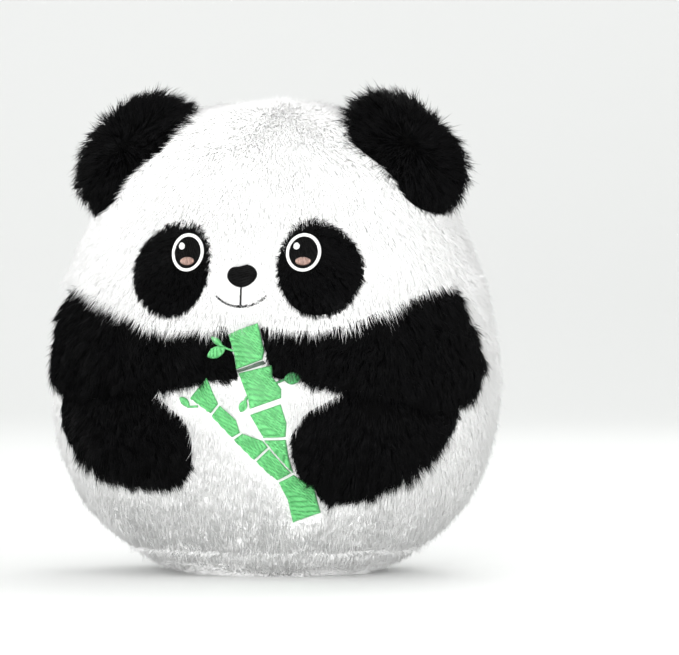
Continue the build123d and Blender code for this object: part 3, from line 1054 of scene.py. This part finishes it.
def ear_shape(side):
    """The shape of the pile on an ear, fanned out from the middle of its seam."""
    middle, _, out = ear_lines(side)

    def shape(roots, _normals):
        fan = unit(roots - (middle + out * 7 * MM))
        radius, _ = ear_square(roots, side)
        lengths = EAR_LENGTH - 1.2 * MM * radius
        return lengths, fan, 0.42 - 0.12 * radius, above_head(roots) > -0.5 * MM

    return shape


BLACK_STYLE = {
    "tuft": 3.6 * MM, "wander": 15 * MM, "spread": 0.22, "clump": 0.55, "stray": 0.45, "uneven": 0.18,
    "width": 0.30 * MM, "bent": True, "finish": BLACK_FUR,
}
PATCH_COUNT = 6000
EAR_COUNTS = {"front": 9000, "back": 5000}
LIMB_COUNTS = {"right_arm": 12500, "left_arm": 12500, "right_leg": 8500, "left_leg": 8500}
for number, (node, count) in enumerate(LIMB_COUNTS.items()):
    style = BLACK_STYLE | {"shape": limb_shape(node), "swell": lambda roots: swell(roots, True)}
    piece = grow(f"{node}_pile", [whole_skin(node)], int(count * THINNED), style, 200 + number)
    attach(piece, "body")
    fur.append(piece)
for number, side in enumerate(EAR_SIDES):
    style = BLACK_STYLE | {"shape": patch_shape(side), "swell": lambda roots: swell(roots, False),
                           "tuft": 2.4 * MM, "width": 0.26 * MM}
    node = f"{side}_eye_patch"
    piece = grow(f"{node}_pile", [whole_skin(node)], int(PATCH_COUNT * THINNED), style, 300 + number)
    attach(piece, "body")
    fur.append(piece)


def ear_skin(node):
    """The outer faces of an ear's cloth, with their normals."""
    side, _, face = node.split("_")
    points, faces = ear_skins[node]
    a, b, c = (points[faces[:, k]] for k in range(3))
    normals = unit(np.cross(b - a, c - a))
    middle, _, out = ear_lines(side)
    facing = (normals * unit((a + b + c) / 3 - middle)).sum(axis=1)
    keep = (facing > 0) & (ear_square((a + b + c) / 3, side)[1] > 0.85)
    return points, faces[keep], normals[keep]


for number, side in enumerate(EAR_SIDES):
    for face in ("front", "back"):
        node = f"{side}_ear_{face}"
        style = BLACK_STYLE | {"shape": ear_shape(side), "swell": lambda roots: np.zeros(len(roots))}
        count = int(EAR_COUNTS[face] * THINNED)
        piece = grow(f"{node}_pile", [ear_skin(node)], count, style, 400 + number)
        bend_with_ear(piece, side)
        fur.append(piece)
print("strand triangles", sum(len(piece.data.polygons) for piece in fur))

# %% [markdown]
# ## The label
# A care label is a narrow satin ribbon caught in the back seam. It is hemmed at its free end, and it curls
# a little. It carries no words here.

# %% Care label
def ribbon(name, node, across, along):
    """A thin closed strip in a node's box. It runs from the seam and curls by a sine along its length."""
    box_low, box_high = (np.array(corner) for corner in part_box(node))
    s, t = np.meshgrid(np.linspace(0, 1, along), np.linspace(0, 1, across), indexing="ij")
    # The free end is at low X, and the box leans away from the back.
    x = box_high[0] + (box_low[0] - box_high[0]) * s
    slope = (box_high[1] - box_low[1] - 0.5 * MM) * s
    z = box_low[2] + (box_high[2] - box_low[2]) * t
    hem = 0.12 * MM * (s > 0.88)
    wave = 0.35 * MM * np.sin(math.pi * s) * np.cos(2 * math.pi * t)
    sheets = []
    for outward in (1, -1):
        y = box_low[1] + 0.25 * MM + slope + wave + outward * (0.18 * MM + hem)
        sheets.append(np.stack([x, y, z], axis=-1).reshape(-1, 3))
    points = np.concatenate(sheets)
    i, j = np.meshgrid(np.arange(along - 1), np.arange(across - 1), indexing="ij")
    here, beyond = i * across + j, (i + 1) * across + j
    quad = np.stack([here, here + 1, beyond + 1, beyond], axis=-1)
    outer = quad.reshape(-1, 4)
    count = along * across
    edge = np.concatenate([np.arange(across), (np.arange(1, along) * across + across - 1),
                           ((along - 1) * across + np.arange(across - 2, -1, -1)),
                           (np.arange(along - 2, 0, -1) * across)])
    after = np.roll(edge, -1)
    rim = np.stack([edge, edge + count, after + count, after], axis=-1)
    mesh = mesh_from(name, points, np.concatenate([outer, outer[:, ::-1] + count, rim]))
    bm = bmesh.new()
    bm.from_mesh(mesh)
    bmesh.ops.recalc_face_normals(bm, faces=bm.faces)
    bm.to_mesh(mesh)
    bm.free()
    mesh.materials.append(LABEL_CLOTH)
    return place(mesh)


label = ribbon("label_ribbon", "care_label", 28, 40)
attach(label, "label")
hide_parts("care_label")
print(label.name, len(label.data.polygons), "faces")

# %% [markdown]
# ## What the frame still shows
# The loose fibre inside and the ladder stitches of the back seam come straight from the frame. They only
# need their finish. The fibre in an ear is a copy of the frame's ear filling.

# %% Filling and closing stitches
for node, look in (("body_filling", FIBRE), ("closing_stitches", WHITE_THREAD)):
    shown = frame["nodes"][node]
    shown.data.materials.clear()
    shown.data.materials.append(look)
for side in EAR_SIDES:
    mesh = merged_copy(f"{side}_ear_fibre", [f"{side}_ear_filling"])
    mesh.materials.clear()
    mesh.materials.append(FIBRE)
    piece = place(mesh)
    bend_with_ear(piece, side)
    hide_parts(f"{side}_ear_filling")

# %% [markdown]
# ## Light, floor and camera
# A pale floor that curves up into a backdrop. One big soft light stands in front, a little above the toy,
# a small one lies low in front of it, and weaker ones fill in from its left and from behind.

# %% Stage
def sweep(width, depth, height, radius):
    """A floor that curves up into a back wall, as one strip carried along X."""
    turn = np.linspace(0, math.pi / 2, 16)
    y = np.concatenate([[-depth], depth - radius + radius * np.sin(turn), [depth]])
    z = np.concatenate([[0], radius - radius * np.cos(turn), [height]])
    x = np.array([-width, width])
    points = np.stack([np.tile(x, len(y)), np.repeat(y, 2), np.repeat(z, 2)], axis=1)
    i = np.arange(len(y) - 1) * 2
    return mesh_from("backdrop", points, np.stack([i, i + 1, i + 3, i + 2], axis=1))


backdrop = place(sweep(6.0, 3.0, 5.0, 1.2))
paper = bpy.data.materials.new("pale_paper")
paper.use_nodes = True
paper.node_tree.nodes["Principled BSDF"].inputs["Base Color"].default_value = (0.88, 0.89, 0.88, 1)
paper.node_tree.nodes["Principled BSDF"].inputs["Roughness"].default_value = 0.9
backdrop.data.materials.append(paper)


def soft_light(name, position, size, power):
    """A square light that points at the toy's middle."""
    lamp = bpy.data.lights.new(name, "AREA")
    lamp.size = size
    lamp.energy = power
    light = bpy.data.objects.new(name, lamp)
    light.location = position
    light.rotation_euler = (Vector((0, 0, 0.1)) - Vector(position)).to_track_quat("-Z", "Y").to_euler()
    scene.collection.objects.link(light)
    return light


lights = [
    soft_light("key", (-0.5, -1.9, 0.45), 1.4, 9.6),
    soft_light("low", (0.0, -1.0, 0.11), 0.22, 7.5),
    soft_light("fill", (1.2, -0.8, 0.4), 0.8, 6.5),
    soft_light("back", (0.2, 1.0, 1.2), 1.0, 6),
]
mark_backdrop(backdrop, *lights)
world = bpy.data.worlds.new("soft_room")
world.use_nodes = True
world.node_tree.nodes["Background"].inputs["Color"].default_value = (1, 1, 1, 1)
world.node_tree.nodes["Background"].inputs["Strength"].default_value = 0.92
scene.world = world
scene.view_settings.view_transform = "Standard"

# %% [markdown]
# A long lens looks at the toy from a little to its left, at the height of its middle. The lens is shifted,
# so the toy stands left of the middle of the picture.

# %% Camera
AZIMUTH, ELEVATION = math.radians(10.4), math.radians(1.0)
DISTANCE = 2.0
AIM = Vector((0, 0, 0.1013))
lens = bpy.data.cameras.new("camera")
lens.lens = 250
lens.sensor_width = 36
lens.shift_x = 0.0935
lens.shift_y = 0.008
lens.dof.use_dof = False
camera = bpy.data.objects.new("camera", lens)
back = Vector((math.sin(AZIMUTH) * math.cos(ELEVATION), -math.cos(AZIMUTH) * math.cos(ELEVATION),
               math.sin(ELEVATION)))
camera.location = AIM + back * DISTANCE
camera.rotation_euler = (-back).to_track_quat("-Z", "Y").to_euler()
scene.collection.objects.link(camera)
scene.camera = camera

# %% [markdown]
# Last, the size with pile is printed; the size of the bare frame was printed at the start.

# %% Sizes before and after, and the end
looks_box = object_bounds()
boxes = {"frame": cad_box, "looks": looks_box}
{name: [list(corner) for corner in box] for name, box in boxes.items()}
print("looks size in mm", size_in_mm(looks_box))
